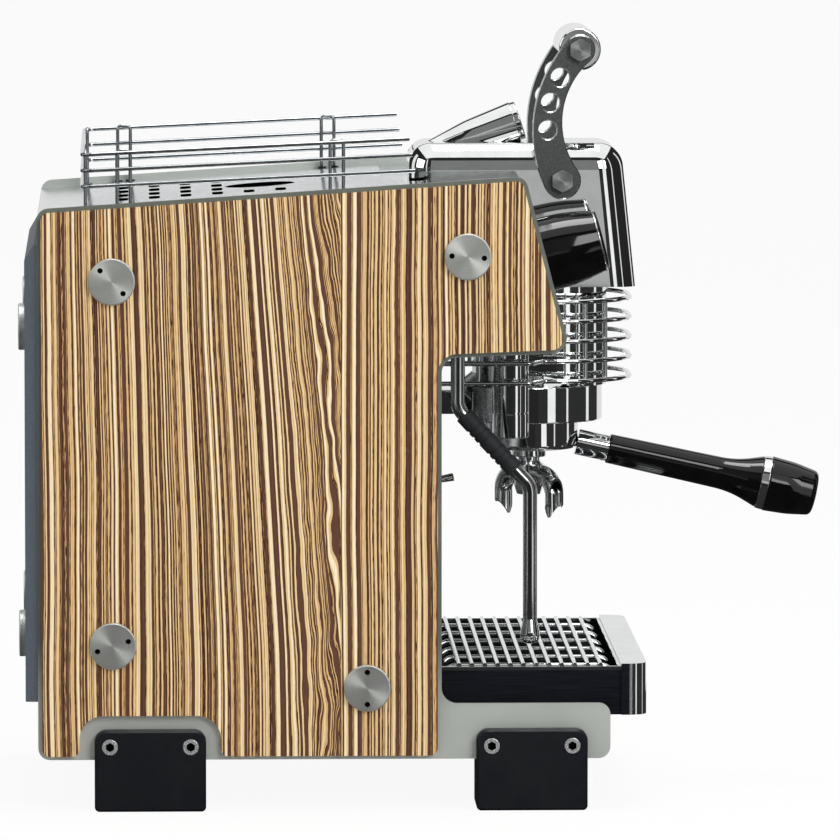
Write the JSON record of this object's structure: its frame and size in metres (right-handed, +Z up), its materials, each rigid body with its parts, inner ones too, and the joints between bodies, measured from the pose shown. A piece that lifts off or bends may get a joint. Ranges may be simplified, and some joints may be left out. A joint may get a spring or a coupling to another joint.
{
  "type": "espresso machine",
  "caption": "Espresso machine with wood side panels, tall brew lever, caged group, portafilter, steam wand, wire cup rail and sliding drip tray.",
  "frame": {"origin": "centre of the overall box, at the underside of the feet", "axes": "+Z up, -Y is the front that the user faces, +X is the right-hand side seen from the front"},
  "size_m": [0.308, 0.5061, 0.4799],
  "materials": {
    "satin_steel": "satin",
    "zebra_wood": "satin veneer",
    "turned_steel": "spun",
    "black_block": "satin black",
    "screw_steel": "bright",
    "sheet_steel": "brushed",
    "dark_cover": "textured powder coat",
    "chrome": "polished",
    "rail_steel": "polished wire",
    "wand_steel": "polished",
    "gunmetal": "grained dark coat",
    "gloss_black": "high gloss",
    "soft_rubber": "matt",
    "dial_white": "matt",
    "needle_black": "matt",
    "gauge_glass": "clear",
    "switch_metal": "nickel",
    "tray_black": "gloss",
    "tank_plastic": "translucent",
    "boiler_brass": "plain",
    "pump_metal": "cast",
    "box_plastic": "matt"
  },
  "bodies": {
    "machine": {"base_pan": "sheet_steel", "boiler": "boiler_brass", "boiler_stand": "sheet_steel", "cap_discs": "turned_steel", "control_box": "box_plastic", "cup_rail": "rail_steel", "feet": "black_block", "foot_screws": "screw_steel", "front_fascia": "sheet_steel", "gauge_bezel": "chrome", "gauge_dial": "dial_white", "gauge_glass": "gauge_glass", "gauge_housing": "chrome", "group_bell": "chrome", "group_body": "chrome", "group_gasket": "soft_rubber", "group_hood": "chrome", "heating_element": "boiler_brass", "pipework": "boiler_brass", "power_inlet": "box_plastic", "pump": "pump_metal", "rear_cover": "dark_cover", "shower_screen": "wand_steel", "side_frame_left": "satin_steel", "side_frame_right": "satin_steel", "solenoid_valve": "pump_metal", "steam_socket": "wand_steel", "switch_body": "switch_metal", "tank_shelf": "sheet_steel", "top_deck": "sheet_steel", "upper_fascia": "sheet_steel", "valve_bodies": "boiler_brass", "water_outlet": "chrome", "water_tank": "tank_plastic", "wire_guard": "chrome", "wood_panel_left": "zebra_wood", "wood_panel_right": "zebra_wood"},
    "lever": {"lever_plate_left": "gunmetal", "lever_plate_right": "gunmetal", "lever_roller": "chrome", "lever_shaft": "wand_steel", "lever_bolts": "gunmetal"},
    "gauge_hand": {"gauge_needle": "needle_black"},
    "steam_tap": {"steam_knob": "gloss_black"},
    "water_tap": {"water_knob": "gloss_black"},
    "wand_ball": {"steam_ball": "wand_steel"},
    "wand": {"steam_pipe": "wand_steel", "steam_grip": "soft_rubber", "steam_tip": "wand_steel"},
    "filter_holder": {"portafilter": "chrome", "filter_basket": "wand_steel", "portafilter_handle": "gloss_black", "handle_ring": "chrome", "handle_cap": "gloss_black", "twin_spout": "chrome"},
    "tray": {"drip_tray": "tray_black", "tray_front": "chrome"},
    "grid": {"cup_grid": "rail_steel"},
    "cup_plate": {"cup_tray": "sheet_steel"},
    "toggle": {"toggle_lever": "switch_metal"}
  },
  "joints": [
    {"name": "lever_swing", "type": "hinge", "parent": "machine", "child": "lever", "pos_m": [0, -0.0878, 0.3844], "axis": [1, 0, 0], "range_deg": [0, 65]},
    {"name": "gauge_needle_turn", "type": "hinge", "parent": "machine", "child": "gauge_hand", "pos_m": [0, -0.0598, 0.41929], "axis": [0, -0.9455, 0.3256], "range_deg": [-270, 0]},
    {"name": "steam_knob_turn", "type": "hinge", "parent": "machine", "child": "steam_tap", "pos_m": [-0.094, -0.07206, 0.3406], "axis": [0, -0.9677, 0.2521], "range_deg": [0, 270]},
    {"name": "water_knob_turn", "type": "hinge", "parent": "machine", "child": "water_tap", "pos_m": [0.094, -0.07206, 0.3406], "axis": [0, -0.9677, 0.2521], "range_deg": [0, 270]},
    {"name": "wand_swing", "type": "hinge", "parent": "machine", "child": "wand_ball", "pos_m": [-0.094, -0.0205, 0.2905], "axis": [0, 0, 1], "range_deg": [-90, 15]},
    {"name": "wand_tilt", "type": "hinge", "parent": "wand_ball", "child": "wand", "pos_m": [-0.094, -0.0205, 0.2905], "axis": [-1, 0, 0], "range_deg": [-4, 17]},
    {"name": "portafilter_lock", "type": "hinge", "parent": "machine", "child": "filter_holder", "pos_m": [0, -0.0689, 0.236], "axis": [0, 0, 1], "range_deg": [-45, 0]},
    {"name": "tray_slide", "type": "slide", "parent": "machine", "child": "tray", "axis": [0, -1, 0], "range_m": [0, 0.12]},
    {"name": "grid_lift", "type": "slide", "parent": "tray", "child": "grid", "axis": [0, 0, 1], "range_m": [0, 0.004]},
    {"name": "cup_tray_lift", "type": "slide", "parent": "machine", "child": "cup_plate", "axis": [0, 0, 1], "range_m": [0, 0.06]},
    {"name": "toggle_flip", "type": "hinge", "parent": "machine", "child": "toggle", "pos_m": [0.1, -0.004, 0.1805], "axis": [1, 0, 0], "range_deg": [0, 20]}
  ]
}
